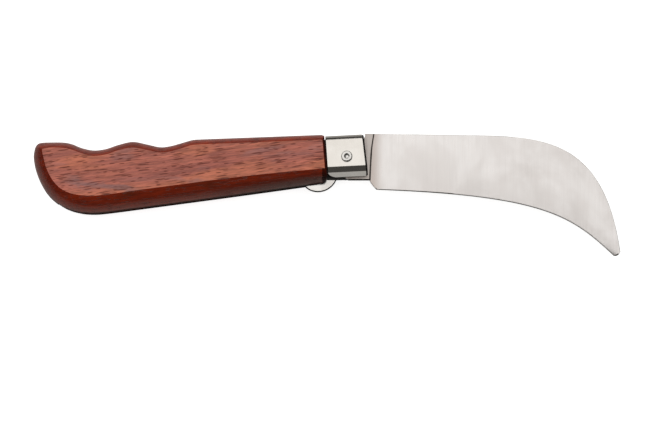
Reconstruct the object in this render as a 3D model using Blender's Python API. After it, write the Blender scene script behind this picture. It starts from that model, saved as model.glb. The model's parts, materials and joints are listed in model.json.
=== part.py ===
"""Folding hawkbill pruning knife, open, lying on its far side.

+X runs along the blade to its tip, +Y to the back of the knife, +Z to the viewer's side.
Sizes are in millimetres around the pivot's centre; to_metres() turns them into metres, and the
empty "knife" sets the whole model down with the middle of its underside at the origin.
"""
import math

import bmesh
import bpy
from mathutils import Matrix

MM = 0.001
GAP = 0.3                  # clearance between pieces that touch

# Wooden handle
HANDLE_HALF = 8.5          # half of the handle's thickness
CREASE = 0.87              # how far the edge rounding turns before it meets the flat face
SLOT_HALF = 1.9            # half of the width of the blade slot
SLOT_FLOOR_FRONT = (-16.5, 5.1)
SLOT_FLOOR_BACK = (-99.2, -10.4)

# Folded steel bolster
BOLSTER_HALF = 7.2
BOLSTER_SHEET = 0.85
BOLSTER_TOP = 7.65
BOLSTER_BEND = 2.5         # outer radius of the bend along the back
BOLSTER_LIP = 2.6          # height of the lips above mid height
BOLSTER_REAR = (-6.8, 0.07)    # place of the rear end, and how far it leans forward per mm down
BOLSTER_FRONT = (6.6, 0.115)   # the same for the front end
BOLSTER_RISE = 0.05        # how much the long edges rise towards the blade, per mm
CORNER_LENGTH = 3.7        # size of the rounded lower rear corner, along and across the bolster
CORNER_HEIGHT = 1.3

# Blade and tang
BLADE_LOW = -1.6
BLADE_HIGH = 0.4
TANG_RADIUS = 5.3
GRIND_RELIEF = 0.3         # depth of the step at the plunge line, on each side
BEVEL_WIDTH = 1.1          # width of the sharpened strip
BEVEL_HALF = 0.42          # half thickness where the sharpened strip starts
EDGE_HALF = 0.1

# Pivot rivet
SHANK_RADIUS = 1.3
HOLE_RADIUS = SHANK_RADIUS + GAP
HEAD_RADIUS = 1.9
HEAD_HEIGHT = 0.65
DIMPLE_RADIUS = 0.85
DIMPLE_DEPTH = 0.5
ROUND_STEPS = 32

# Locking liner
LINER_LOW = 0.7
LINER_HIGH = 1.6
ARM_ROOT = -27.0           # where the lock arm starts to bend
LOCK_ANGLE = 2.5           # degrees that the arm springs in behind the tang


def catmull(knots, steps):
    """Smooth open curve through the knots, of any number of coordinates, with steps per span."""
    curve = []
    for index in range(len(knots) - 1):
        a = knots[max(index - 1, 0)]
        b = knots[index]
        c = knots[index + 1]
        d = knots[min(index + 2, len(knots) - 1)]
        for step in range(steps):
            t = step / steps
            curve.append(tuple(
                0.5 * (2 * q + (r - p) * t + (2 * p - 5 * q + 4 * r - s) * t * t
                       + (3 * q - p - 3 * r + s) * t ** 3)
                for p, q, r, s in zip(a, b, c, d)))
    return curve + [knots[-1]]


def bezier(p0, p1, p2, p3, steps):
    """Cubic curve from p0 to p3, both ends included."""
    curve = []
    for step in range(steps + 1):
        t = step / steps
        weights = ((1 - t) ** 3, 3 * t * (1 - t) ** 2, 3 * t * t * (1 - t), t ** 3)
        curve.append(tuple(sum(w * p[axis] for w, p in zip(weights, (p0, p1, p2, p3)))
                           for axis in (0, 1)))
    return curve


def arc(centre, radius, start, end, steps):
    """Points on a circle from start to end degrees."""
    turn = [math.radians(start + (end - start) * step / steps) for step in range(steps + 1)]
    return [(centre[0] + radius * math.cos(a), centre[1] + radius * math.sin(a)) for a in turn]


def to_metres(point, origin=(0, 0, 0)):
    return tuple((p - o) * MM for p, o in zip(point, origin))


def material(name, colour, roughness, metallic):
    mat = bpy.data.materials.new(name)
    mat.use_nodes = True
    shader = mat.node_tree.nodes["Principled BSDF"]
    shader.inputs["Base Color"].default_value = (*colour, 1)
    shader.inputs["Roughness"].default_value = roughness
    shader.inputs["Metallic"].default_value = metallic
    return mat


def make_object(name, vertices, faces, parent, mat=None, origin=(0, 0, 0)):
    """A mesh object from millimetre points, its own origin placed at the given point."""
    mesh = bpy.data.meshes.new(name)
    mesh.from_pydata([to_metres(v, origin) for v in vertices], [], faces)
    bm = bmesh.new()
    bm.from_mesh(mesh)
    bmesh.ops.recalc_face_normals(bm, faces=bm.faces)
    bm.to_mesh(mesh)
    bm.free()
    if mat:
        mesh.materials.append(mat)
    obj = bpy.data.objects.new(name, mesh)
    obj.location = to_metres(origin)
    obj.parent = parent
    bpy.context.scene.collection.objects.link(obj)
    return obj


def prism(outline, low, high):
    """Vertices and faces of an outline in X and Y pulled straight from low to high in Z."""
    count = len(outline)
    vertices = [(x, y, z) for z in (low, high) for x, y in outline]
    faces = [tuple(range(count)), tuple(range(count, 2 * count))]
    faces += [(i, (i + 1) % count, (i + 1) % count + count, i + count) for i in range(count)]
    return vertices, faces


def loft(rings):
    """Vertices and faces of a closed body through rings of equal length, with flat ends."""
    count = len(rings[0])
    vertices = [point for ring in rings for point in ring]
    last = count * (len(rings) - 1)
    faces = [tuple(range(count)), tuple(range(last, last + count))]
    for row in range(len(rings) - 1):
        base = row * count
        for i in range(count):
            j = (i + 1) % count
            faces.append((base + i, base + j, base + count + j, base + count + i))
    return vertices, faces


def cylinder(radius, low, high):
    return prism(arc((0, 0), radius, 0, 360 - 360 / ROUND_STEPS, ROUND_STEPS - 1), low, high)


def helper(name, shape, parent):
    """A cutter or an added block, which isn't a piece of the knife."""
    obj = make_object(name, *shape, parent)
    obj.hide_render = True
    obj.display_type = "WIRE"
    return obj


def boolean(obj, other, operation):
    modifier = obj.modifiers.new(other.name, "BOOLEAN")
    modifier.operation = operation
    modifier.solver = "EXACT"
    modifier.object = other


def handle_sections():
    """Stations round the handle: outer x and y, flat face x and y, height of the rounding."""
    top_front = [(-8.6, 7.88, -8.9, 5.6, 4.5), (-50.0, 6.3, -50.0, 3.95, 4.5)]
    finger_grips = [
        (-50.0, 6.3, -50.0, 3.95, 4.5), (-53.0, 6.05, -53.0, 3.65, 4.5),
        (-57.0, 4.9, -57.0, 2.4, 4.5), (-60.5, 3.95, -60.3, 1.5, 4.5),
        (-64.0, 3.62, -64.0, 1.2, 4.6), (-68.5, 4.6, -68.2, 2.1, 4.7),
        (-73.4, 5.5, -73.0, 2.85, 4.8), (-78.3, 4.45, -77.8, 1.95, 4.9),
        (-82.5, 3.05, -81.7, 0.6, 5.0), (-86.7, 2.55, -86.2, 0.0, 5.0),
        (-90.8, 3.35, -90.0, 0.85, 5.0), (-94.2, 4.7, -93.2, 2.0, 5.0),
        (-97.5, 5.3, -96.4, 2.75, 5.0), (-103.3, 5.3, -100.4, 2.9, 5.0)]
    butt = [
        (-103.3, 5.3, -100.4, 2.9, 5.0), (-105.6, 5.0, -102.8, 2.75, 5.3),
        (-106.9, 3.7, -103.7, 2.2, 5.6), (-107.5, 1.2, -103.5, 0.8, 6.0),
        (-107.5, -0.8, -103.1, -0.8, 6.5), (-106.8, -4.4, -102.15, -4.1, 7.0),
        (-104.9, -9.1, -100.2, -7.9, 7.5), (-101.8, -13.6, -97.5, -10.9, 8.0),
        (-97.0, -17.2, -94.3, -12.6, 8.5), (-92.0, -18.85, -91.0, -13.35, 8.5),
        (-87.0, -19.3, -86.5, -13.65, 8.5), (-81.5, -18.85, -81.5, -13.2, 8.5),
        (-72.0, -17.6, -72.0, -11.85, 8.5)]
    belly = [
        (-72.0, -17.6, -72.0, -11.85, 8.5), (-36.0, -12.75, -36.0, -7.1, 8.5),
        (-9.3, -8.95, -9.7, -4.45, 8.5)]
    front = [
        (-9.3, -8.95, -9.7, -4.45, 8.5), (-7.7, -8.55, -8.6, -4.35, 6.0),
        (-6.95, -7.85, -7.85, -4.25, 3.5), (-6.72, -6.9, -7.55, -4.1, 1.5),
        (-6.83, -4.7, -7.6, -3.2, 1.2), (-7.6, 6.2, -8.3, 4.9, 1.2),
        (-7.74, 7.2, -8.5, 5.4, 2.4), (-8.6, 7.88, -8.9, 5.6, 4.5)]
    return (catmull(top_front, 8)[:-1] + catmull(finger_grips, 4)[:-1] + catmull(butt, 3)[:-1]
            + catmull(belly, 6)[:-1] + catmull(front, 2)[:-1])


def handle_ring(sections, z):
    """The handle's outline at height z: full size at mid height, drawn in towards the faces."""
    flattest = 1 - math.sqrt(1 - CREASE ** 2)
    ring = []
    for outer_x, outer_y, face_x, face_y, rounding in sections:
        t = max(0.0, (abs(z) - (HANDLE_HALF - rounding)) / rounding)
        inset = (1 - math.sqrt(1 - (t * CREASE) ** 2)) / flattest
        ring.append((outer_x + (face_x - outer_x) * inset,
                     outer_y + (face_y - outer_y) * inset, z))
    return ring


def handle_outline():
    return [(x, y) for x, y, _ in handle_ring(handle_sections(), 0)]


def inset_path(path, distance):
    """The path moved to its right by a distance, with mitred corners and square ends."""
    normals = []
    for (ax, ay), (bx, by) in zip(path, path[1:]):
        length = math.hypot(bx - ax, by - ay)
        normals.append(((by - ay) / length, (ax - bx) / length))
    moved = []
    for index, (x, y) in enumerate(path):
        before = normals[max(index - 1, 0)]
        after = normals[min(index, len(normals) - 1)]
        scale = distance / (1 + before[0] * after[0] + before[1] * after[1])
        moved.append((x + (before[0] + after[0]) * scale, y + (before[1] + after[1]) * scale))
    return moved


def bolster_profile(inset):
    """Half of the bolster's section as (y, z), from the middle of the back to the lip."""
    centre = (BOLSTER_TOP - BOLSTER_BEND, BOLSTER_HALF - BOLSTER_BEND)
    outer = [(BOLSTER_TOP, 0)] + arc(centre, BOLSTER_BEND, 0, 90, 6)
    outer += [(-3.35, BOLSTER_HALF), (-5.12, 5.8), (-6.42, BOLSTER_LIP)]
    return inset_path(outer, -inset)


def bolster_prism(section, rear, front):
    """The section pulled from one leaning end to the other, rising a little to the blade."""
    return loft([[(place - lean * y, y + BOLSTER_RISE * place, z) for y, z in section]
                 for place, lean in (rear, front)])


def make_handle(parent):
    """One piece of hardwood: grip, two cheeks under the bolster, and the slot for the blade."""
    sections = handle_sections()
    levels = [0.42, 0.68, 0.86, 1.0]
    heights = [-HANDLE_HALF * v for v in reversed(levels)] + [0] + [HANDLE_HALF * v for v in levels]
    handle = make_object("handle", *loft([handle_ring(sections, z) for z in heights]), parent,
                         material("hardwood", (0.30, 0.075, 0.045), 0.38, 0.0))

    clear = BOLSTER_SHEET + GAP
    half = bolster_profile(clear)[1:]
    cheeks = half + [(y, -z) for y, z in reversed(half)]
    recessed = (BOLSTER_FRONT[0] - 0.6, BOLSTER_FRONT[1])
    tenon = helper("tenon", bolster_prism(cheeks, (-11.0, 0), recessed), parent)
    boolean(handle, tenon, "UNION")

    slot = [(8.0, 12.0), (-7.4, 12.0), (-7.4, 5.1), SLOT_FLOOR_FRONT, SLOT_FLOOR_BACK]
    slot += [(-99.5, -14.0), (-98.3, -30.0), (8.0, -30.0)]
    boolean(handle, helper("slot_cutter", prism(slot, -SLOT_HALF, SLOT_HALF), parent),
            "DIFFERENCE")
    boolean(handle, helper("handle_hole", cylinder(HOLE_RADIUS, -20, 20), parent), "DIFFERENCE")
    return handle


def make_bolster(parent):
    """Stainless sheet folded over the back, with bent-in lips on the belly side."""
    outer = bolster_profile(0)[1:]
    inner = bolster_profile(BOLSTER_SHEET)[1:]
    section = outer + list(reversed(inner)) + [(y, -z) for y, z in inner]
    section += [(y, -z) for y, z in reversed(outer)]
    bolster = make_object("bolster", *bolster_prism(section, BOLSTER_REAR, BOLSTER_FRONT), parent,
                          material("polished_stainless", (0.80, 0.79, 0.77), 0.16, 1.0))
    boolean(bolster, helper("bolster_hole", cylinder(HOLE_RADIUS, -20, 20), parent), "DIFFERENCE")

    centre = (CORNER_LENGTH - 6.35, CORNER_HEIGHT - 6.65)
    rounded = [(centre[0] + CORNER_LENGTH * x, centre[1] + CORNER_HEIGHT * y)
               for x, y in arc((0, 0), 1, 180, 270, 8)]
    cut = rounded + [(centre[0], -12.0), (-12.0, -12.0), (-12.0, centre[1])]
    boolean(bolster, helper("corner_cutter", prism(cut, -20, 20), parent), "DIFFERENCE")
    return bolster


def spine_curve(steps):
    """The blade's back, from its front corner by the bolster round to the tip."""
    straight = [(8.6, 8.93), (20.0, 8.8), (32.0, 8.65)]
    return straight + bezier((44.0, 8.45), (69.1, 8.0), (89.2, 6.7), (94.0, -32.1), steps)


def edge_curve(steps):
    """The blade's belly, from the choil along the cutting edge to the tip."""
    choil = [(7.5, -6.4), (8.15, -7.75), (9.2, -9.25), (10.35, -10.5)]
    return choil + bezier((13.5, -10.65), (70.7, -12.7), (77.7, -19.8), (91.7, -33.3), steps)


def blade_section(spine, edge, z_mid, half):
    """Section points between one spine point and one edge point, once round."""
    length = math.dist(spine, edge)

    def at(distance):
        t = min(distance / length, 1.0)
        return (spine[0] + (edge[0] - spine[0]) * t, spine[1] + (edge[1] - spine[1]) * t)

    bevel = at(max(length - BEVEL_WIDTH, 0.35 * length))
    shoulder = at(min(0.2, 0.1 * length))
    thin = BEVEL_HALF if length > 2 * BEVEL_WIDTH else min(half, BEVEL_HALF)
    stations = [(spine, half - 0.2), (shoulder, half), (bevel, thin), (edge, EDGE_HALF)]
    near = [(x, y, z_mid + z) for (x, y), z in stations]
    far = [(x, y, z_mid - z) for (x, y), z in reversed(stations)]
    return near + far


def tang_outline():
    """Pivot disc, stop shoulder, ricasso with its plunge line, and the face the lock meets."""
    shoulder = [(6.45, 8.95), (6.4, 7.95), (6.12, 7.6), (6.12, 6.1)]
    disc = arc((0, 0), TANG_RADIUS, 66, 253, 20)
    lock_face = [(0.25, -6.95), (0.6, -7.2)]
    plunge = catmull([(7.9, -7.2), (8.15, -2.0), (8.5, 3.0), (8.95, 6.2), (9.4, 8.9)], 3)
    return shoulder + disc + lock_face + plunge


def make_blade(parent):
    """Tang and ricasso at full thickness, joined to the ground blade in front of them."""
    steel = material("satin_stainless", (0.72, 0.70, 0.67), 0.32, 1.0)
    blade = make_object("blade", *prism(tang_outline(), BLADE_LOW, BLADE_HIGH), parent, steel)

    middle = (BLADE_LOW + BLADE_HIGH) / 2
    half = (BLADE_HIGH - BLADE_LOW) / 2 - GRIND_RELIEF
    steps = 28
    spine = spine_curve(steps)
    edge = edge_curve(steps - 1)
    tip_centre = (92.3, -31.8)
    spine += arc(tip_centre, 1.65, -10, -45, 2)
    edge += arc(tip_centre, 1.65, -108, -60, 2)
    rings = [blade_section(s, e, middle, half) for s, e in zip(spine, edge)]
    boolean(blade, helper("ground_blade", loft(rings), parent), "UNION")
    boolean(blade, helper("blade_hole", cylinder(HOLE_RADIUS, -20, 20), parent), "DIFFERENCE")
    return blade


def make_rivet(parent):
    """Rivet through bolster, cheeks, liner and blade, with a dimpled domed head at each end."""
    seat = BOLSTER_HALF + GAP
    rim = seat + 0.18
    crown = seat + HEAD_HEIGHT
    head = [(SHANK_RADIUS, seat), (HEAD_RADIUS, seat), (HEAD_RADIUS, rim),
            (0.86 * HEAD_RADIUS, crown - 0.12), (0.66 * HEAD_RADIUS, crown),
            (DIMPLE_RADIUS, crown - 0.08), (0.6 * DIMPLE_RADIUS, crown - DIMPLE_DEPTH)]
    profile = [(r, -z) for r, z in reversed(head)] + head
    rings = [[(r * math.cos(a), r * math.sin(a), z)
              for a in (math.tau * i / ROUND_STEPS for i in range(ROUND_STEPS))]
             for r, z in profile]
    rivet = make_object("pivot_rivet", *loft(rings), parent,
                        material("rivet_steel", (0.82, 0.81, 0.80), 0.2, 1.0))
    rivet.data.shade_smooth()
    rivet.data.set_sharp_from_angle(angle=math.radians(40))
    return rivet


def plate_outline():
    """The fixed part of the liner: round the pivot, back over the arm, and down behind it."""
    rear = ARM_ROOT - GAP
    return (arc((0, 0), 4.6, -118, 78, 14)
            + [(-7.0, 4.7), (-16.4, 4.7), (-31.0, 1.9), (-31.0, -8.0), (rear, -8.4),
               (rear, -1.2), (-5.0, -1.2), (-3.8, -2.6)])


def arm_outline():
    """The springy part: from its root to the nose behind the tang, with the thumb tab."""
    clear = TANG_RADIUS + 2 * GAP
    tab = [(-3.5, -7.3), (-4.1, -8.4), (-5.3, -9.75), (-7.2, -10.95), (-9.7, -11.5),
           (-12.0, -11.15), (-13.7, -10.25), (-15.2, -8.7)]
    return ([(ARM_ROOT, -8.4), (ARM_ROOT, -1.7)] + arc((0, 0), clear, 196.5, 247, 6)
            + [(-0.2, -6.95), (0.1, -7.2)] + catmull(tab, 3))


def make_liner(parent):
    """Sheet steel liner beside the blade, split at the line where the lock arm bends."""
    steel = material("liner_steel", (0.66, 0.65, 0.63), 0.28, 1.0)
    plate = make_object("lock_plate", *prism(plate_outline(), LINER_LOW, LINER_HIGH), parent,
                        steel)
    boolean(plate, helper("liner_hole", cylinder(HOLE_RADIUS, -20, 20), parent), "DIFFERENCE")

    root = (ARM_ROOT, 0, (LINER_LOW + LINER_HIGH) / 2)
    arm = make_object("lock_arm", *prism(arm_outline(), LINER_LOW, LINER_HIGH), parent, steel,
                      root)
    arm.rotation_euler = (0, math.radians(LOCK_ANGLE), 0)
    return plate, arm


def main():
    for obj in list(bpy.data.objects):
        bpy.data.objects.remove(obj)

    handle = handle_outline()
    blade = spine_curve(28) + edge_curve(27)
    xs = [x for x, _ in handle + blade]
    ys = [y for _, y in handle + blade]
    middle = ((min(xs) + max(xs)) / 2, (min(ys) + max(ys)) / 2)
    knife = bpy.data.objects.new("knife", None)
    knife.matrix_world = Matrix.Translation(to_metres((-middle[0], -middle[1], HANDLE_HALF)))
    bpy.context.scene.collection.objects.link(knife)

    make_handle(knife)
    make_bolster(knife)
    make_blade(knife)
    make_rivet(knife)
    make_liner(knife)


main()
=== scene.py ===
"""Looks of the folding hawkbill pruning knife: fine surfaces, materials, light and camera.

Shapes are in millimetres around the pivot's centre, with +X along the blade, +Y to the back of
the knife and +Z across its thickness; placed() turns them into metres in the frame.
"""
import json
import math

import bmesh
import bpy
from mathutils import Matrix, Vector


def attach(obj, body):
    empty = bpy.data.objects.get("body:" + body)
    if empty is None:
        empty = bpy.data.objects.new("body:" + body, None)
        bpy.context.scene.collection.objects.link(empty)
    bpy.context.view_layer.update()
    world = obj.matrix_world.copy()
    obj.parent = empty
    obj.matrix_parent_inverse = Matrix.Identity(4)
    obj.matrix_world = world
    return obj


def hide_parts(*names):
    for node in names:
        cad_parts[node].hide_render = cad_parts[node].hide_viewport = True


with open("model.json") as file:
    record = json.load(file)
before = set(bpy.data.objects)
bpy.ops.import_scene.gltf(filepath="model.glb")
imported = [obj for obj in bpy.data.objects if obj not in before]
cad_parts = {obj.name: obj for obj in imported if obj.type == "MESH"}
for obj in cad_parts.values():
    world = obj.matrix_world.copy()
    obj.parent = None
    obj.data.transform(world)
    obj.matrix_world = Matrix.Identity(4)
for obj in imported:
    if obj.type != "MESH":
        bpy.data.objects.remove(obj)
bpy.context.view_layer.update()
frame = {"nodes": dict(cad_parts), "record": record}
JOINTS = {joint["name"]: joint for joint in frame["record"]["behaviour"]["joints"]}
PIVOT = Vector(JOINTS["blade_pivot"]["pos_m"])
ARM_PIVOT = Vector(JOINTS["lock_release"]["pos_m"])
MM = 0.001
GAP = 0.3                      # clearance between pieces that touch
THROUGH = 20.0                 # half the length of a cutter that passes right through

# Wooden handle
HANDLE_HALF = 8.5              # half of the handle's thickness
CREASE = 0.87                  # how far the edge rounding turns before it meets the flat face
SLOT_HALF = 1.9                # half of the width of the blade slot
SLOT_FLOOR_FRONT = (-16.5, 5.1)
SLOT_FLOOR_BACK = (-99.2, -10.4)
SLOT_LIP = 0.7                 # width of the strip beside the slot that is painted dark as shade
CHEEK_ROOT = -11.0             # where the cheeks start, inside the wood
CHEEK_RECESS = 0.6             # how far they end behind the bolster's front
END_GRAIN = -9.5               # ahead of this, wood that looks forward is end grain, painted dark as shade
UNDER_CORNER = (-8.4, -4.3)    # ahead of and below this, wood at the bolster's lower corner is painted dark as shade
SHADED_CHEEK = -6.4              # ahead of this, wood lies under the bolster and is painted dark as shade

# Folded steel bolster
BOLSTER_HALF = 7.2
BOLSTER_SHEET = 0.85
BOLSTER_TOP = 7.65
BOLSTER_BEND = 2.5             # outer radius of the bend along the back
BOLSTER_LIP = 2.6              # height of the lips above mid height
BOLSTER_REAR = (-6.8, 0.07)    # place of the rear end, and how far it leans forward per mm down
BOLSTER_FRONT = (6.6, 0.115)   # the same for the front end
BOLSTER_RISE = 0.05            # how much the long edges rise towards the blade, per mm
BOLSTER_CHAMFER = (0.65, 0.32)     # of the front end: its length, and its depth into the sheet
CORNER_PLACE = (-6.35, -6.65)  # the rounded lower rear corner, and its size along and across
CORNER_LENGTH = 3.7
CORNER_HEIGHT = 1.3

# Blade and tang
BLADE_LOW = -1.6
BLADE_HIGH = 0.4
BLADE_STEPS = 90               # points along the long curve of the spine and of the edge
TIP_CENTRE = (92.3, -31.8)
TIP_RADIUS = 1.65
TANG_RADIUS = 5.3
PLUNGE_DEPTH = 0.3             # how far the ground flats lie below the ricasso
PLUNGE_RAMP = 0.42             # how far the plunge line moves forward on its way down
BEVEL_WIDTH = 0.5              # width of the sharpened strip
BEVEL_HALF = 0.32              # half thickness where the sharpened strip starts
EDGE_HALF = 0.1

# Pivot rivet
HOLE_RADIUS = 1.6
HEAD_RADIUS = 1.9
HEAD_CROWN = 8.12              # height of the head's crown above mid height
HEAD_RIM = 0.12
HEAD_ROUNDING = 0.3

# Locking liner
LINER_LOW = 0.7
LINER_HIGH = 1.6
LINER_ROUNDING = 0.42
ARM_ROOT = -27.0               # where the lock arm starts to bend
ARM_SHADE_LINE = -7.35               # the arm is polished below this, and painted dark as shade above it
LOCK_ANGLE = 2.5               # degrees that the arm springs in behind the tang

# Grain and colours of the wood. A turn lays a direction that falls by so many degrees along X.
GRAIN_TURN = -7.5
CREASE_TURN = -6.8             # the crease along the belly
STAIN_TURN = 8.5               # the grey stain near the butt
STAIN_MIDDLE = (-80.6, -22.3)  # along and across that direction
FLAT_COSINE = 0.985            # wood that looks less than this along Z is rounded, and gets a darker copy as painted shade
BACK_COSINE = 0.25             # and wood that looks more than this along Y is on the back, with its own painted-shade copy
WOOD_DARK = (0.50, 0.134, 0.098)
WOOD_PALE = (0.74, 0.212, 0.140)
WOOD_ORANGE = (0.88, 0.26, 0.11)
# painted light: the flat face grows lighter and more orange towards the belly's crease
WOOD_LIT_TOWARD_CREASE = (0.90, 0.27, 0.13)
# painted shade on the belly's rounding near the bolster
WOOD_BELLY_SHADE = (0.10, 0.05, 0.03)
WOOD_BLOTCH = (0.42, 0.18, 0.165)
WOOD_FIBRE = (0.26, 0.055, 0.032)
WOOD_STAIN = (0.29, 0.165, 0.170)
WOOD_PORE = (0.150, 0.020, 0.007)
WOOD_SHEEN = (1.0, 0.93, 0.83, 1.0)    # tint of the light that the oiled surface reflects

# Layers of pores: cells per mm, shift of the pattern, radius of a pore in cells, share of the
# cells that have none, and strength.
PORE_LAYERS = (((0.065, 1.8, 1.8), (1, 5, 2), 0.33, 0.46, 0.8),
               ((0.15, 1.7, 1.7), (4, 2, 8), 0.40, 0.46, 1.0),
               ((0.34, 2.4, 2.4), (9, 6, 3), 0.42, 0.54, 0.95))


# ---------------------------------------------------------------- outlines

def catmull(knots, steps):
    """Smooth open curve through the knots, of any number of coordinates, with steps per span."""
    curve = []
    for index in range(len(knots) - 1):
        a = knots[max(index - 1, 0)]
        b = knots[index]
        c = knots[index + 1]
        d = knots[min(index + 2, len(knots) - 1)]
        for step in range(steps):
            t = step / steps
            curve.append(tuple(
                0.5 * (2 * q + (r - p) * t + (2 * p - 5 * q + 4 * r - s) * t * t
                       + (3 * q - p - 3 * r + s) * t ** 3)
                for p, q, r, s in zip(a, b, c, d)))
    return curve + [knots[-1]]


def bezier(p0, p1, p2, p3, steps):
    """Cubic curve from p0 to p3, both ends included."""
    curve = []
    for step in range(steps + 1):
        t = step / steps
        weights = ((1 - t) ** 3, 3 * t * (1 - t) ** 2, 3 * t * t * (1 - t), t ** 3)
        curve.append(tuple(sum(w * p[axis] for w, p in zip(weights, (p0, p1, p2, p3)))
                           for axis in (0, 1)))
    return curve


def arc(centre, radius, start, end, steps):
    """Points on a circle from start to end degrees."""
    turn = [math.radians(start + (end - start) * step / steps) for step in range(steps + 1)]
    return [(centre[0] + radius * math.cos(a), centre[1] + radius * math.sin(a)) for a in turn]


def inset_path(path, distance, closed=False):
    """The path moved to its right by a distance, with mitred corners."""
    following = path[1:] + path[:1] if closed else path[1:]
    normals = []
    for (ax, ay), (bx, by) in zip(path, following):
        length = math.hypot(bx - ax, by - ay)
        normals.append(((by - ay) / length, (ax - bx) / length))
    moved = []
    for index, (x, y) in enumerate(path):
        before = normals[index - 1 if closed else max(index - 1, 0)]
        after = normals[min(index, len(normals) - 1)]
        scale = distance / max(0.4, 1 + before[0] * after[0] + before[1] * after[1])
        moved.append((x + (before[0] + after[0]) * scale, y + (before[1] + after[1]) * scale))
    return moved


def area(outline):
    """Signed area: positive for an outline that runs anticlockwise."""
    return 0.5 * sum(ax * by - bx * ay
                     for (ax, ay), (bx, by) in zip(outline, outline[1:] + outline[:1]))


# ---------------------------------------------------------------- meshes

def placed(point):
    """A millimetre point around the pivot as metres in the frame."""
    return PIVOT + Vector(point) * MM


def loft(rings):
    """Vertices and faces of a closed body through rings of equal length, with flat ends."""
    count = len(rings[0])
    vertices = [point for ring in rings for point in ring]
    last = count * (len(rings) - 1)
    faces = [tuple(range(count)), tuple(range(last, last + count))]
    for row in range(len(rings) - 1):
        base = row * count
        for i in range(count):
            j = (i + 1) % count
            faces.append((base + i, base + j, base + count + j, base + count + i))
    return vertices, faces


def prism(outline, low, high):
    """A plate of the outline's shape between two heights."""
    return loft([[(x, y, z) for x, y in outline] for z in (low, high)])


def rounded_prism(outline, low, high, radius, steps=3):
    """A prism whose long edges are rounded off, as a stamped and deburred sheet is."""
    if area(outline) < 0:
        outline = outline[::-1]
    rings = []
    for side in (-1, 1):
        order = range(steps + 1) if side < 0 else range(steps, -1, -1)
        for step in order:
            turn = math.radians(90 * step / steps)
            inward = radius * (1 - math.sin(turn))
            depth = radius * (1 - math.cos(turn))
            z = low + depth if side < 0 else high - depth
            rings.append([(x, y, z) for x, y in inset_path(outline, -inward, closed=True)])
    return loft(rings)


def make_object(name, shape, mat=None):
    """A mesh object in the frame from a shape in millimetres around the pivot."""
    vertices, faces = shape
    mesh = bpy.data.meshes.new(name)
    mesh.from_pydata([placed(v) for v in vertices], [], faces)
    bm = bmesh.new()
    bm.from_mesh(mesh)
    bmesh.ops.recalc_face_normals(bm, faces=bm.faces)
    bm.to_mesh(mesh)
    bm.free()
    if mat:
        mesh.materials.append(mat)
    obj = bpy.data.objects.new(name, mesh)
    bpy.context.scene.collection.objects.link(obj)
    return obj


def add_bevel(obj, width, segments, angle):
    """Rounds the edges that are sharper than the angle in degrees."""
    modifier = obj.modifiers.new("edge_rounding", "BEVEL")
    modifier.width = width * MM
    modifier.segments = segments
    modifier.limit_method = "ANGLE"
    modifier.angle_limit = math.radians(angle)
    modifier.harden_normals = False


def apply_modifiers(obj):
    """Bakes the modifiers into the mesh."""
    graph = bpy.context.evaluated_depsgraph_get()
    mesh = bpy.data.meshes.new_from_object(obj.evaluated_get(graph))
    obj.modifiers.clear()
    obj.data = mesh


def combine(obj, shape, operation):
    """Adds a shape to the object's mesh, or cuts it away."""
    other = make_object("tool", shape)
    modifier = obj.modifiers.new("combine", "BOOLEAN")
    modifier.operation = operation
    modifier.solver = "EXACT"
    modifier.object = other
    apply_modifiers(obj)
    bpy.data.objects.remove(other)


def drill_pivot(obj):
    """Cuts the rivet's hole through a piece."""
    hole = arc((0, 0), HOLE_RADIUS, 0, 350, 35)
    combine(obj, prism(hole, -THROUGH, THROUGH), "DIFFERENCE")


def paint_faces(obj, mat, chosen):
    """Gives the material to the faces that chosen(centre, normal) picks, in mm round the pivot."""
    obj.data.materials.append(mat)
    slot = len(obj.data.materials) - 1
    for face in obj.data.polygons:
        if chosen((face.center - PIVOT) / MM, face.normal):
            face.material_index = slot


def split_faces(obj, point, normal):
    """Cuts the faces along a plane without taking anything away."""
    bm = bmesh.new()
    bm.from_mesh(obj.data)
    geometry = bm.verts[:] + bm.edges[:] + bm.faces[:]
    bmesh.ops.bisect_plane(bm, geom=geometry, plane_co=placed(point), plane_no=normal, dist=1e-7)
    bm.to_mesh(obj.data)
    bm.free()


def finish_surface(obj, sharp_angle):
    """Smooth shading that keeps flats flat and edges crisp."""
    obj.data.shade_smooth()
    obj.data.set_sharp_from_angle(angle=math.radians(sharp_angle))
    modifier = obj.modifiers.new("weighted_normals", "WEIGHTED_NORMAL")
    modifier.keep_sharp = True
    modifier.weight = 60
    apply_modifiers(obj)


# ---------------------------------------------------------------- materials

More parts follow.
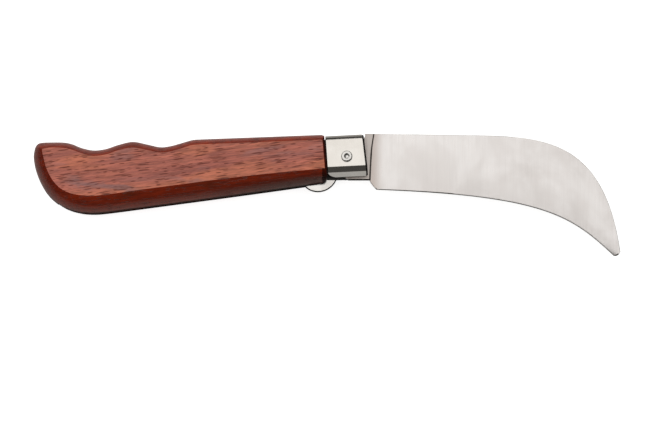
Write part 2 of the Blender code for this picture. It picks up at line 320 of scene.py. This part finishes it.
class Shader:
    """A Principled material and short calls for the nodes that feed it."""

    def __init__(self, name, **values):
        self.material = bpy.data.materials.new(name)
        self.material.use_nodes = True
        self.tree = self.material.node_tree
        self.shader = self.tree.nodes["Principled BSDF"]
        for socket, value in values.items():
            self.shader.inputs[socket.replace("_", " ")].default_value = value

    def link(self, output, target):
        self.tree.links.new(output, target)

    def feed(self, output, socket):
        self.link(output, self.shader.inputs[socket])

    def object_space(self):
        return self.tree.nodes.new("ShaderNodeTexCoord").outputs["Object"]

    def from_pivot(self, turn):
        """Millimetres from the pivot along and across a direction that falls by the turn."""
        split = self.tree.nodes.new("ShaderNodeSeparateXYZ")
        self.link(self.grain_space((1, 1, 1), turn), split.inputs["Vector"])
        cosine, sine = math.cos(math.radians(turn)), math.sin(math.radians(turn))
        along = (PIVOT.x * cosine - PIVOT.y * sine) / MM
        across = (PIVOT.x * sine + PIVOT.y * cosine) / MM
        return (self.math("SUBTRACT", split.outputs["X"], along),
                self.math("SUBTRACT", split.outputs["Y"], across))

    def warped_space(self, scale, amount):
        """Object coordinates pushed about by a slow noise, by up to the amount in millimetres."""
        coords = self.object_space()
        slow = self.tree.nodes.new("ShaderNodeTexNoise")
        slow.inputs["Scale"].default_value = scale / MM
        self.link(coords, slow.inputs["Vector"])
        push = self.tree.nodes.new("ShaderNodeVectorMath")
        push.operation = "MULTIPLY_ADD"
        self.link(slow.outputs["Color"], push.inputs[0])
        push.inputs[1].default_value = (0, amount * MM, amount * MM)
        self.link(coords, push.inputs[2])
        return push.outputs["Vector"]

    def grain_space(self, scale, turn=0.0, shift=(0, 0, 0), coords=None):
        """Object coordinates turned about Z by degrees, then stretched by the scale per mm."""
        turned = self.tree.nodes.new("ShaderNodeMapping")
        turned.inputs["Rotation"].default_value = (0, 0, math.radians(turn))
        self.link(coords or self.object_space(), turned.inputs["Vector"])
        stretched = self.tree.nodes.new("ShaderNodeMapping")
        stretched.inputs["Scale"].default_value = tuple(s / MM for s in scale)
        stretched.inputs["Location"].default_value = shift
        self.link(turned.outputs["Vector"], stretched.inputs["Vector"])
        return stretched.outputs["Vector"]

    def noise(self, space, detail, roughness, distortion=0.0):
        node = self.tree.nodes.new("ShaderNodeTexNoise")
        node.inputs["Scale"].default_value = 1.0
        node.inputs["Detail"].default_value = detail
        node.inputs["Roughness"].default_value = roughness
        node.inputs["Distortion"].default_value = distortion
        self.link(space, node.inputs["Vector"])
        return node.outputs["Fac"]

    def cells(self, space):
        """Voronoi distance to the nearest cell centre, and that cell's own random colour."""
        node = self.tree.nodes.new("ShaderNodeTexVoronoi")
        node.inputs["Scale"].default_value = 1.0
        self.link(space, node.inputs["Vector"])
        return node.outputs["Distance"], node.outputs["Color"]

    def remap(self, value, low, high, out_low=0.0, out_high=1.0):
        """A smooth step from one range of values to another."""
        node = self.tree.nodes.new("ShaderNodeMapRange")
        node.interpolation_type = "SMOOTHSTEP"
        for socket, number in zip(("From Min", "From Max", "To Min", "To Max"),
                                  (low, high, out_low, out_high)):
            node.inputs[socket].default_value = number
        self.link(value, node.inputs["Value"])
        return node.outputs["Result"]

    def math(self, operation, first, second):
        node = self.tree.nodes.new("ShaderNodeMath")
        node.operation = operation
        for socket, value in zip(node.inputs, (first, second)):
            if isinstance(value, (int, float)):
                socket.default_value = value
            else:
                self.link(value, socket)
        return node.outputs["Value"]

    def mix(self, factor, first, second, blend="MIX"):
        node = self.tree.nodes.new("ShaderNodeMix")
        node.data_type = "RGBA"
        node.blend_type = blend
        sockets = (node.inputs["Factor"], node.inputs[6], node.inputs[7])
        for socket, value in zip(sockets, (factor, first, second)):
            if isinstance(value, (int, float)):
                socket.default_value = value
            elif isinstance(value, tuple):
                socket.default_value = (*value, 1)
            else:
                self.link(value, socket)
        return node.outputs[2]

    def bump(self, height, distance):
        """Relief of the given depth in millimetres."""
        node = self.tree.nodes.new("ShaderNodeBump")
        node.inputs["Distance"].default_value = distance * MM
        node.inputs["Strength"].default_value = 1.0
        self.link(height, node.inputs["Height"])
        self.feed(node.outputs["Normal"], "Normal")


def grey_figure(wood):
    """How much of a soft grey stain shows, a ragged strip askew to the grain near the butt."""
    along, across = wood.from_pivot(STAIN_TURN)
    along = wood.math("ABSOLUTE", wood.math("SUBTRACT", along, STAIN_MIDDLE[0]), 0)
    noise = wood.noise(wood.grain_space((0.12, 0.5, 0.5), STAIN_TURN, (4, 4, 4)), 3, 0.6)
    ragged = wood.remap(noise, 0.3, 0.7, -1.1, 1.1)
    across = wood.math("ADD", wood.math("SUBTRACT", across, STAIN_MIDDLE[1]), ragged)
    across = wood.math("ABSOLUTE", across, 0)
    length, width = wood.remap(along, 15, 8), wood.remap(across, 2.0, 0.4, 0, 0.6)
    return wood.math("MULTIPLY", length, width)


def pore_dashes(wood):
    """How much of a pore shows: short dashes along the grain, the deepest of several layers."""
    warp = wood.warped_space(0.05, 1.3)
    pores = None
    for scale, shift, size, share, depth in PORE_LAYERS:
        distance, seed = wood.cells(wood.grain_space(scale, GRAIN_TURN, shift, warp))
        inside = wood.remap(distance, size, size * 0.5)
        split = wood.tree.nodes.new("ShaderNodeSeparateColor")
        wood.link(seed, split.inputs["Color"])
        chosen = wood.remap(split.outputs["Red"], share, share + 0.25, 0, depth)
        pore = wood.math("MULTIPLY", inside, chosen)
        pores = pore if pores is None else wood.math("MAXIMUM", pores, pore)
    return pores


def hardwood(name, tint, coat, specular=0.5, roughness=0.32, pitting=0.86):
    """Oiled reddish hardwood: long bands, soft blotches, and short dark pores along the grain.

    The tint multiplies the whole colour, and darker tints make painted-shade copies of the wood.
    Pitting is how dark the pores are.
    """
    wood = Shader(name, Coat_Weight=coat, Coat_Roughness=0.3, Specular_IOR_Level=specular,
                  Specular_Tint=WOOD_SHEEN)

    def along_grain(scale, shift=(0, 0, 0)):
        return wood.grain_space(scale, GRAIN_TURN, shift)

    bands = wood.noise(along_grain((0.014, 0.42, 0.42)), 5, 0.65, 0.8)
    blotches = wood.noise(along_grain((0.05, 0.16, 0.16), (7, 3, 1)), 3, 0.55, 0.4)
    orange = wood.noise(along_grain((0.03, 0.14, 0.14), (2, 9, 4)), 2, 0.5, 0.3)
    fibre = wood.noise(along_grain((0.10, 1.1, 1.1)), 4, 0.75, 0.3)
    fine = wood.noise(along_grain((0.22, 2.2, 2.2), (5, 1, 3)), 2, 0.6)
    pores = pore_dashes(wood)

    along, across = wood.from_pivot(CREASE_TURN)
    # painted light towards the belly's crease
    lit_toward_crease = wood.remap(across, 0.5, -3.3, 0, 0.45)
    # painted shade: the belly's rounding darkens towards the bolster
    belly_shade_at_bolster = wood.math("MULTIPLY", wood.remap(across, -4.2, -6.5),
                      wood.remap(along, -60, -12, 0, 0.75))

    colour = wood.mix(wood.remap(bands, 0.34, 0.66), WOOD_DARK, WOOD_PALE)
    colour = wood.mix(wood.remap(orange, 0.52, 0.70, 0, 0.4), colour, WOOD_ORANGE)
    colour = wood.mix(lit_toward_crease, colour, WOOD_LIT_TOWARD_CREASE)
    colour = wood.mix(belly_shade_at_bolster, colour, WOOD_BELLY_SHADE)
    colour = wood.mix(wood.remap(blotches, 0.54, 0.70, 0, 0.65), colour, WOOD_BLOTCH)
    colour = wood.mix(wood.remap(fibre, 0.46, 0.64, 0, 0.36), colour, WOOD_FIBRE)
    colour = wood.mix(grey_figure(wood), colour, WOOD_STAIN)
    colour = wood.mix(1.0, colour, wood.remap(fine, 0.36, 0.64, 0.84, 1.21), "MULTIPLY")
    colour = wood.mix(wood.math("MULTIPLY", pores, pitting), colour, WOOD_PORE)
    wood.feed(wood.mix(1.0, colour, tint, "MULTIPLY"), "Base Color")

    uneven = wood.remap(blotches, 0.3, 0.75, roughness, roughness + 0.1)
    wood.feed(wood.math("ADD", uneven, wood.math("MULTIPLY", pores, 0.08)), "Roughness")
    wood.bump(wood.math("SUBTRACT", wood.math("MULTIPLY", fibre, 0.3), pores), 0.05)
    return wood.material


def brushed_steel(name, dull, bright, roughness, grain, depth, streak=0.2, bolster_shade_span=None):
    """Steel ground in one direction, duller in clouds and in patches.

    Two distances along the blade set painted shade beside the bolster: up to the first the steel
    is darkest, and by the second it has the tone of the rest.
    """
    steel = Shader(name, Metallic=1.0)
    lines = steel.noise(steel.grain_space(grain), 4, 0.65)
    cloud = steel.noise(steel.grain_space((0.06, 0.05, 0.2), 12, (3, 1, 6)), 3, 0.6, 0.5)
    patch_grain = (grain[0] * 0.28, grain[1] * 1.4, grain[2])
    patches = steel.noise(steel.grain_space(patch_grain, 0, (2, 7, 4)), 2, 0.6)
    tone = steel.mix(steel.remap(cloud, 0.36, 0.64), dull, bright)
    tone = steel.mix(steel.remap(patches, 0.45, 0.72, 0, 0.55), tone, dull)
    tone = steel.mix(steel.remap(lines, 0.35, 0.75, 0, streak), tone,
                     tuple(c * 0.7 for c in bright))
    # painted shade beside the bolster, warm and darkest nearest it
    if bolster_shade_span:
        along, _ = steel.from_pivot(0)
        warm = (dull[0] * 0.71, dull[1] * 0.66, dull[2] * 0.63)
        tone = steel.mix(steel.remap(along, *bolster_shade_span, 1, 0), tone, warm)
    steel.feed(tone, "Base Color")
    uneven = steel.remap(cloud, 0.3, 0.7, roughness * 1.1, roughness * 0.9)
    streaks = steel.remap(lines, 0.2, 0.8, -0.03, 0.03)
    steel.feed(steel.math("ADD", uneven, streaks), "Roughness")
    steel.bump(lines, depth)
    return steel.material


def painted_shade_steel():
    """Sheared sheet edges and hidden steel, darkened to near black as painted shade."""
    steel = Shader("painted_shade_steel", Metallic=1.0)
    speckle = steel.noise(steel.grain_space((1.6, 1.6, 0.5)), 4, 0.65)
    tone = steel.mix(steel.remap(speckle, 0.3, 0.7), (0.018, 0.017, 0.016), (0.055, 0.052, 0.048))
    steel.feed(tone, "Base Color")
    steel.feed(steel.remap(speckle, 0.3, 0.7, 0.38, 0.55), "Roughness")
    steel.bump(speckle, 0.01)
    return steel.material


def polished_steel(name, dull, bright):
    """Bright stainless sheet with fine random scuffs from handling."""
    steel = Shader(name, Metallic=1.0)
    cloud = steel.noise(steel.grain_space((0.22, 0.22, 0.22)), 3, 0.6)
    along = steel.noise(steel.grain_space((0.5, 9.0, 9.0), 24), 2, 0.6)
    across = steel.noise(steel.grain_space((7.0, 0.4, 7.0), -38, (5, 5, 5)), 2, 0.6)
    scuffs = steel.math("MAXIMUM", steel.remap(along, 0.66, 0.8), steel.remap(across, 0.67, 0.8))
    tone = steel.mix(steel.remap(cloud, 0.3, 0.7), dull, bright)
    steel.feed(tone, "Base Color")
    base = steel.remap(cloud, 0.3, 0.7, 0.13, 0.2)
    steel.feed(steel.math("ADD", base, steel.math("MULTIPLY", scuffs, 0.12)), "Roughness")
    steel.bump(steel.math("ADD", cloud, scuffs), 0.004)
    return steel.material


# ---------------------------------------------------------------- handle

def handle_sections():
    """Stations round the handle: outer x and y, flat face x and y, height of the rounding."""
    top_front = [(-8.6, 7.88, -8.9, 5.6, 4.5), (-50.0, 6.3, -50.0, 3.95, 4.5)]
    finger_grips = [
        (-50.0, 6.3, -50.0, 3.95, 4.5), (-53.0, 6.05, -53.0, 3.65, 4.5),
        (-57.0, 4.9, -57.0, 2.4, 4.5), (-60.5, 3.95, -60.3, 1.5, 4.5),
        (-64.0, 3.62, -64.0, 1.2, 4.6), (-68.5, 4.6, -68.2, 2.1, 4.7),
        (-73.4, 5.5, -73.0, 2.85, 4.8), (-78.3, 4.45, -77.8, 1.95, 4.9),
        (-82.5, 3.05, -81.7, 0.6, 5.0), (-86.7, 2.55, -86.2, 0.0, 5.0),
        (-90.8, 3.35, -90.0, 0.85, 5.0), (-94.2, 4.7, -93.2, 2.0, 5.0),
        (-97.5, 5.3, -96.4, 2.75, 5.0), (-103.3, 5.3, -100.4, 2.9, 5.0)]
    butt = [
        (-103.3, 5.3, -100.4, 2.9, 5.0), (-105.6, 5.0, -102.8, 2.75, 5.3),
        (-106.9, 3.7, -103.7, 2.2, 5.6), (-107.5, 1.2, -103.5, 0.8, 6.0),
        (-107.5, -0.8, -103.1, -0.8, 6.5), (-106.8, -4.4, -102.15, -4.1, 7.0),
        (-104.9, -9.1, -100.2, -7.9, 7.5), (-101.8, -13.6, -97.5, -10.9, 8.0),
        (-97.0, -17.2, -94.3, -12.6, 8.5), (-92.0, -18.85, -91.0, -13.35, 8.5),
        (-87.0, -19.3, -86.5, -13.65, 8.5), (-81.5, -18.85, -81.5, -13.2, 8.5),
        (-72.0, -17.6, -72.0, -11.85, 8.5)]
    belly = [
        (-72.0, -17.6, -72.0, -11.85, 8.5), (-36.0, -12.75, -36.0, -7.1, 8.5),
        (-9.3, -8.95, -9.7, -4.45, 8.5)]
    front = [
        (-9.3, -8.95, -9.7, -4.45, 8.5), (-7.7, -8.55, -8.6, -4.35, 6.0),
        (-6.95, -7.85, -7.85, -4.25, 3.5), (-6.72, -6.9, -7.55, -4.1, 1.5),
        (-6.83, -4.7, -7.6, -3.2, 1.2), (-7.6, 6.2, -8.3, 4.9, 1.2),
        (-7.74, 7.2, -8.5, 5.4, 2.4), (-8.6, 7.88, -8.9, 5.6, 4.5)]
    return (catmull(top_front, 30)[:-1] + catmull(finger_grips, 8)[:-1] + catmull(butt, 8)[:-1]
            + catmull(belly, 24)[:-1] + catmull(front, 6)[:-1])


def handle_ring(sections, z):
    """The handle's outline at height z: full size at mid height, drawn in towards the faces."""
    flattest = 1 - math.sqrt(1 - CREASE ** 2)
    ring = []
    for outer_x, outer_y, face_x, face_y, rounding in sections:
        t = max(0.0, (abs(z) - (HANDLE_HALF - rounding)) / rounding)
        inset = (1 - math.sqrt(1 - (t * CREASE) ** 2)) / flattest
        ring.append((outer_x + (face_x - outer_x) * inset,
                     outer_y + (face_y - outer_y) * inset, z))
    return ring


def shaded_wood(centre, normal):
    """Slot walls, floor and lips, and the end grain and cheeks at the bolster, all painted dark as
    shade.
    """
    wall = abs(centre.z) < SLOT_HALF + 0.01 and (abs(normal.z) > 0.9 or normal.x > 0.5)
    lip = abs(centre.z) < SLOT_HALF + SLOT_LIP and normal.y < -0.5
    end_grain = centre.x > END_GRAIN and normal.x > 0.6
    corner = centre.x > UNDER_CORNER[0] and centre.y < UNDER_CORNER[1]
    cheek = centre.x > SHADED_CHEEK
    return wall or lip or end_grain or corner or cheek


def make_handle():
    sections = handle_sections()
    steps = 18
    heights = [HANDLE_HALF * math.sin(math.radians(90 * step / steps))
               for step in range(1, steps + 1)]
    heights = [-z for z in reversed(heights)] + [0] + heights
    flat = hardwood("hardwood_flat", tint=(1.0, 1.0, 1.0), coat=0.1, specular=0.3)
    handle = make_object("handle_wood", loft([handle_ring(sections, z) for z in heights]), flat)
    add_bevel(handle, width=0.22, segments=3, angle=14)
    apply_modifiers(handle)

    half = bolster_profile(BOLSTER_SHEET + GAP)[1:]
    cheeks = half + [(y, -z) for y, z in reversed(half)]
    recessed = (BOLSTER_FRONT[0] - CHEEK_RECESS, BOLSTER_FRONT[1])
    combine(handle, bolster_loft([(cheeks, (CHEEK_ROOT, 0)), (cheeks, recessed)]), "UNION")
    slot = [(8.0, 12.0), (-7.4, 12.0), (-7.4, SLOT_FLOOR_FRONT[1]), SLOT_FLOOR_FRONT,
            SLOT_FLOOR_BACK, (-99.5, -14.0), (-98.3, -30.0), (8.0, -30.0)]
    combine(handle, prism(slot, -SLOT_HALF, SLOT_HALF), "DIFFERENCE")
    drill_pivot(handle)

    def is_rounded(centre, normal):
        return abs(normal.z) < FLAT_COSINE

    def is_back(centre, normal):
        return abs(normal.z) < FLAT_COSINE and normal.y > BACK_COSINE

    # darker copies of the wood on the rounded edges and the back: painted shade
    rounded = hardwood("hardwood_rounded_shade", tint=(0.34, 0.085, 0.010), coat=0.0, specular=0.6,
                       roughness=0.2, pitting=0.5)
    paint_faces(handle, rounded, is_rounded)
    back = hardwood("hardwood_back_shade", tint=(0.50, 0.175, 0.075), coat=0.5, pitting=0.6)
    paint_faces(handle, back, is_back)
    # near-black copy of the wood for painted shade
    shaded = hardwood("hardwood_shaded", tint=(0.08, 0.03, 0.015), coat=0.0, specular=0.1)
    paint_faces(handle, shaded, shaded_wood)
    finish_surface(handle, 32)
    return handle


# ---------------------------------------------------------------- bolster

def bolster_profile(inset):
    """Half of the bolster's section as (y, z), from the middle of the back to the lip."""
    centre = (BOLSTER_TOP - BOLSTER_BEND, BOLSTER_HALF - BOLSTER_BEND)
    outer = [(BOLSTER_TOP, 0)] + arc(centre, BOLSTER_BEND, 0, 90, 16)
    outer += [(-3.35, BOLSTER_HALF), (-5.12, 5.8), (-6.42, BOLSTER_LIP)]
    return inset_path(outer, -inset)


def bolster_loft(stations):
    """Sections pulled through leaning stations, rising a little to the blade."""
    return loft([[(place - lean * y, y + BOLSTER_RISE * place, z) for y, z in section]
                 for section, (place, lean) in stations])


def bolster_section(trim):
    """The folded sheet's whole section, its outer side taken down by the trim."""
    outer = bolster_profile(trim)[1:]
    inner = bolster_profile(BOLSTER_SHEET)[1:]
    section = outer + inner[::-1] + [(y, -z) for y, z in inner]
    return section + [(y, -z) for y, z in reversed(outer)]


def make_bolster():
    chamfer_length, chamfer_depth = BOLSTER_CHAMFER
    full = bolster_section(0)
    shoulder = (BOLSTER_FRONT[0] - chamfer_length, BOLSTER_FRONT[1])
    stations = [(full, BOLSTER_REAR), (full, shoulder),
                (bolster_section(chamfer_depth), BOLSTER_FRONT)]
    polish = polished_steel("bolster_polish", (0.53, 0.50, 0.46), (0.58, 0.55, 0.51))
    bolster = make_object("bolster_sheet", bolster_loft(stations), polish)
    add_bevel(bolster, width=0.13, segments=3, angle=20)
    apply_modifiers(bolster)
    drill_pivot(bolster)
    centre = (CORNER_PLACE[0] + CORNER_LENGTH, CORNER_PLACE[1] + CORNER_HEIGHT)
    cut = [(centre[0] + CORNER_LENGTH * x, centre[1] + CORNER_HEIGHT * y)
           for x, y in arc((0, 0), 1, 180, 270, 24)]
    cut += [(centre[0], -12.0), (-12.0, -12.0), (-12.0, centre[1])]
    combine(bolster, prism(cut, -THROUGH, THROUGH), "DIFFERENCE")
    # brighter copy of the polish on the downward lips: painted reflection of the pale floor
    lit_flange = polished_steel("bolster_flange_lit", (0.76, 0.74, 0.70), (0.82, 0.80, 0.76))
    paint_faces(bolster, lit_flange, lambda centre, normal: normal.y < -0.85)
    # painted shade along the bolster's front edge, on its chamfer
    paint_faces(bolster, painted_shade_steel(), lambda centre, normal: normal.x > 0.35)
    finish_surface(bolster, 40)
    return bolster


# ---------------------------------------------------------------- blade

def spine_curve(steps):
    straight = [(8.6 + 5.9 * step, 8.93 - 0.08 * step) for step in range(6)]
    return straight + bezier((44.0, 8.45), (69.1, 8.0), (89.2, 6.7), (94.0, -32.1), steps)


def edge_curve(steps):
    choil = catmull([(7.5, -6.4), (8.15, -7.75), (9.2, -9.25), (10.35, -10.5)], 2)[:-1]
    return choil + bezier((10.35, -10.5), (68.5, -12.7), (77.7, -19.8), (91.7, -33.3), steps)


def blade_section(spine, edge, middle, half):
    """Section points between one spine point and one edge point, once round."""
    length = math.dist(spine, edge)

    def at(distance):
        t = min(distance / length, 1.0)
        return (spine[0] + (edge[0] - spine[0]) * t, spine[1] + (edge[1] - spine[1]) * t)

    bevel = max(length - BEVEL_WIDTH, 0.35 * length)
    thin = BEVEL_HALF if length > 2 * BEVEL_WIDTH else min(half, BEVEL_HALF)
    # Distance from the spine, and the half thickness there.
    stations = [(0.0, half - 0.16), (min(0.06, 0.03 * length), half - 0.05),
                (min(0.18, 0.09 * length), half), (0.33 * bevel, half * 0.9 + thin * 0.1),
                (0.66 * bevel, half * 0.6 + thin * 0.4), (bevel, thin), (length, EDGE_HALF)]
    near = [(*at(distance), middle + z) for distance, z in stations]
    far = [(*at(distance), middle - z) for distance, z in reversed(stations)]
    return near + far


def tang_ring(z, plunge_shift, inward, lift):
    """The tang's outline at one height: plunge line moved on, edge drawn in, underside lifted."""
    shoulder = [(6.45, 8.95), (6.4, 7.95), (6.12, 7.6), (6.12, 6.1)]
    disc = arc((0, 0), TANG_RADIUS, 66, 253, 40)
    lock_face = [(0.25, -6.95), (0.6, -7.2)]
    plunge = catmull([(7.9, -7.2), (8.15, -2.0), (8.5, 3.0), (8.95, 6.2), (9.4, 8.9)], 6)
    outline = shoulder + disc + lock_face + plunge
    drawn = inset_path(outline, -inward, closed=True)
    first = len(outline) - len(plunge)
    return [(x + (plunge_shift if index >= first else 0), y + (lift if y < -7.05 else 0), z)
            for index, (x, y) in enumerate(drawn)]


def make_blade():
    middle = (BLADE_LOW + BLADE_HIGH) / 2
    half = (BLADE_HIGH - BLADE_LOW) / 2
    # Height of a level, with the plunge line's shift, the inset and the underside's lift there.
    levels = [(BLADE_LOW, -0.12, 0.12, 0.24), (BLADE_LOW + 0.04, -0.08, 0.04, 0.3),
              (BLADE_LOW + 0.1, 0.0, 0.0, 0.28),
              (BLADE_LOW + PLUNGE_DEPTH + 0.08, PLUNGE_RAMP, 0.0, 0.0)]
    levels += [(2 * middle - level[0], *level[1:]) for level in reversed(levels)]
    # the blade darkens beside the plunge line with painted shade from the bolster
    steel = brushed_steel("blade_satin", dull=(0.568, 0.535, 0.513), bright=(0.602, 0.575, 0.556),
                          roughness=0.32, grain=(5.0, 0.07, 0.5), depth=0.0015, streak=0.1,
                          bolster_shade_span=(8.8, 13.5))
    blade = make_object("blade_steel", loft([tang_ring(*level) for level in levels]), steel)

    spine = spine_curve(BLADE_STEPS) + arc(TIP_CENTRE, TIP_RADIUS, -10, -45, 4)
    edge = edge_curve(BLADE_STEPS) + arc(TIP_CENTRE, TIP_RADIUS, -108, -60, 4)
    body = [blade_section(s, e, middle, half - PLUNGE_DEPTH) for s, e in zip(spine, edge)]
    combine(blade, loft(body), "UNION")
    drill_pivot(blade)
    # the ricasso's darker tone is painted shade from the bolster beside it
    ricasso = brushed_steel("ricasso_satin_shaded", dull=(0.35, 0.305, 0.28), bright=(0.42, 0.38, 0.35),
                            roughness=0.4, grain=(3.2, 0.05, 0.5), depth=0.004)
    paint_faces(blade, ricasso, lambda centre, normal: abs(centre.z - middle) > half - 0.01)
    # painted shade on the tang's underside and its chamfers
    paint_faces(blade, painted_shade_steel(),
                lambda centre, normal: abs(normal.z) < 0.8 and centre.x < 8.0 and centre.y < 5.5)
    finish_surface(blade, 28)
    return blade


# ---------------------------------------------------------------- rivet and lock

def make_rivet():
    """Solid shank with a rolled, dimpled head at each end."""
    seat = BOLSTER_HALF
    crown = HEAD_CROWN
    head = [(HOLE_RADIUS - GAP, seat), (HEAD_RADIUS - HEAD_RIM, seat),
            (HEAD_RADIUS, seat + HEAD_RIM)]
    head += arc((HEAD_RADIUS - HEAD_ROUNDING, crown - 0.38), HEAD_ROUNDING, 0, 75, 6)
    head += [(1.42, crown - 0.03), (1.2, crown), (1.02, crown - 0.01), (0.9, crown - 0.05),
             (0.8, crown - 0.1), (0.42, crown - 0.25), (0.24, crown - 0.3), (0.08, crown - 0.31)]
    profile = [(r, -z) for r, z in reversed(head)] + head
    count = 72
    turns = [math.tau * i / count for i in range(count)]
    rings = [[(r * math.cos(a), r * math.sin(a), z) for a in turns] for r, z in profile]
    steel = brushed_steel("rivet_steel", dull=(0.54, 0.52, 0.49), bright=(0.60, 0.58, 0.55),
                          roughness=0.2, grain=(1.4, 1.4, 1.4), depth=0.003)
    rivet = make_object("rivet_set", loft(rings), steel)
    finish_surface(rivet, 50)
    return rivet


def arm_outline():
    clear = TANG_RADIUS + 2 * GAP
    tab = [(-3.5, -7.3), (-4.1, -8.4), (-5.3, -9.75), (-7.2, -10.95), (-9.7, -11.5),
           (-12.0, -11.15), (-13.7, -10.25), (-15.2, -8.7)]
    return ([(ARM_ROOT, -8.4), (ARM_ROOT, -1.7)] + arc((0, 0), clear, 196.5, 247, 16)
            + [(0.1, -6.95), (0.42, -7.2)] + catmull(tab, 8))


def make_arm():
    """The lock arm, sprung in by its locking angle about its root."""
    vertices, faces = rounded_prism(arm_outline(), LINER_LOW, LINER_HIGH, LINER_ROUNDING)
    turn = math.radians(LOCK_ANGLE)
    root = (ARM_PIVOT - PIVOT) / MM
    turned = [(root.x + (x - root.x) * math.cos(turn) + (z - root.z) * math.sin(turn), y,
               root.z - (x - root.x) * math.sin(turn) + (z - root.z) * math.cos(turn))
              for x, y, z in vertices]
    steel = brushed_steel("lock_steel", dull=(0.53, 0.505, 0.475), bright=(0.61, 0.59, 0.56),
                          roughness=0.24, grain=(0.4, 2.6, 0.6), depth=0.003)
    arm = make_object("lock_arm_steel", (turned, faces), steel)
    split_faces(arm, (0, ARM_SHADE_LINE, 0), (0, 1, 0))
    # painted shade on the arm's rim and on its part inside the bolster's mouth
    paint_faces(arm, painted_shade_steel(),
                lambda centre, normal: abs(normal.z) < 0.98 or centre.y > ARM_SHADE_LINE)
    finish_surface(arm, 50)
    return arm, steel


# ---------------------------------------------------------------- studio

def make_floor():
    """White paper with a glow of its own that doesn't light the knife."""
    mesh = bpy.data.meshes.new("floor")
    bm = bmesh.new()
    bmesh.ops.create_grid(bm, x_segments=8, y_segments=8, size=1.6)
    bm.to_mesh(mesh)
    bm.free()
    floor = bpy.data.objects.new("floor", mesh)
    bpy.context.scene.collection.objects.link(floor)
    paper = Shader("pale_floor", Roughness=0.9, Base_Color=(0.84, 0.83, 0.81, 1))
    paper.shader.inputs["Emission Color"].default_value = (1, 1, 1, 1)
    paper.shader.inputs["Emission Strength"].default_value = 0.85
    mesh.materials.append(paper.material)
    glow = bpy.data.collections.new("lit_by_floor_glow")
    glow.objects.link(floor)
    floor.light_linking.receiver_collection = glow


def add_area_light(name, location, target, size, power):
    """A rectangular lamp in watts and metres, aimed at the target."""
    data = bpy.data.lights.new(name, "AREA")
    data.shape = "RECTANGLE"
    data.size, data.size_y = size
    data.energy = power
    light = bpy.data.objects.new(name, data)
    light.location = location
    aim = Vector(target) - Vector(location)
    light.rotation_euler = aim.to_track_quat("-Z", "Y").to_euler()
    bpy.context.scene.collection.objects.link(light)


def make_studio():
    scene = bpy.context.scene
    scene.view_settings.view_transform = "Standard"
    world = bpy.data.worlds.new("studio")
    world.use_nodes = True
    world.node_tree.nodes["Background"].inputs["Color"].default_value = (1.0, 0.98, 0.95, 1)
    world.node_tree.nodes["Background"].inputs["Strength"].default_value = 0.09
    scene.world = world
    add_area_light("overhead_softbox", location=(-0.10, 0.32, 1.0), target=(0, 0, 0),
                   size=(1.4, 1.3), power=8.0)


def make_camera():
    """Long lens above the knife, tilted six degrees from straight down."""
    data = bpy.data.cameras.new("camera")
    data.sensor_width = 36.0
    data.lens = 85.0
    data.clip_start = 0.01
    camera = bpy.data.objects.new("camera", data)
    camera.location = placed((-7.09, -75.4, 527.0))
    camera.rotation_euler = (math.radians(6.0), 0, 0)
    bpy.context.scene.collection.objects.link(camera)
    bpy.context.scene.camera = camera


def main():
    """Builds the set and the pieces, ties each piece to its body, and hides the part of its node.
    """
    make_camera()
    make_studio()
    make_floor()
    arm, lock_steel = make_arm()
    pieces = [(make_handle(), "grip", "handle", "hardwood"),
              (make_bolster(), "grip", "bolster", "polished_steel"),
              (make_rivet(), "grip", "pivot_rivet", "rivet_steel"),
              (make_blade(), "blade", "blade", "satin_steel"),
              (arm, "lock_arm", "lock_arm", "liner_steel")]
    for piece, body, node, slot in pieces:
        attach(piece, body)
        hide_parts(node)
    plate = frame["nodes"]["lock_plate"]
    plate.data.materials.clear()
    plate.data.materials.append(lock_steel)


main()
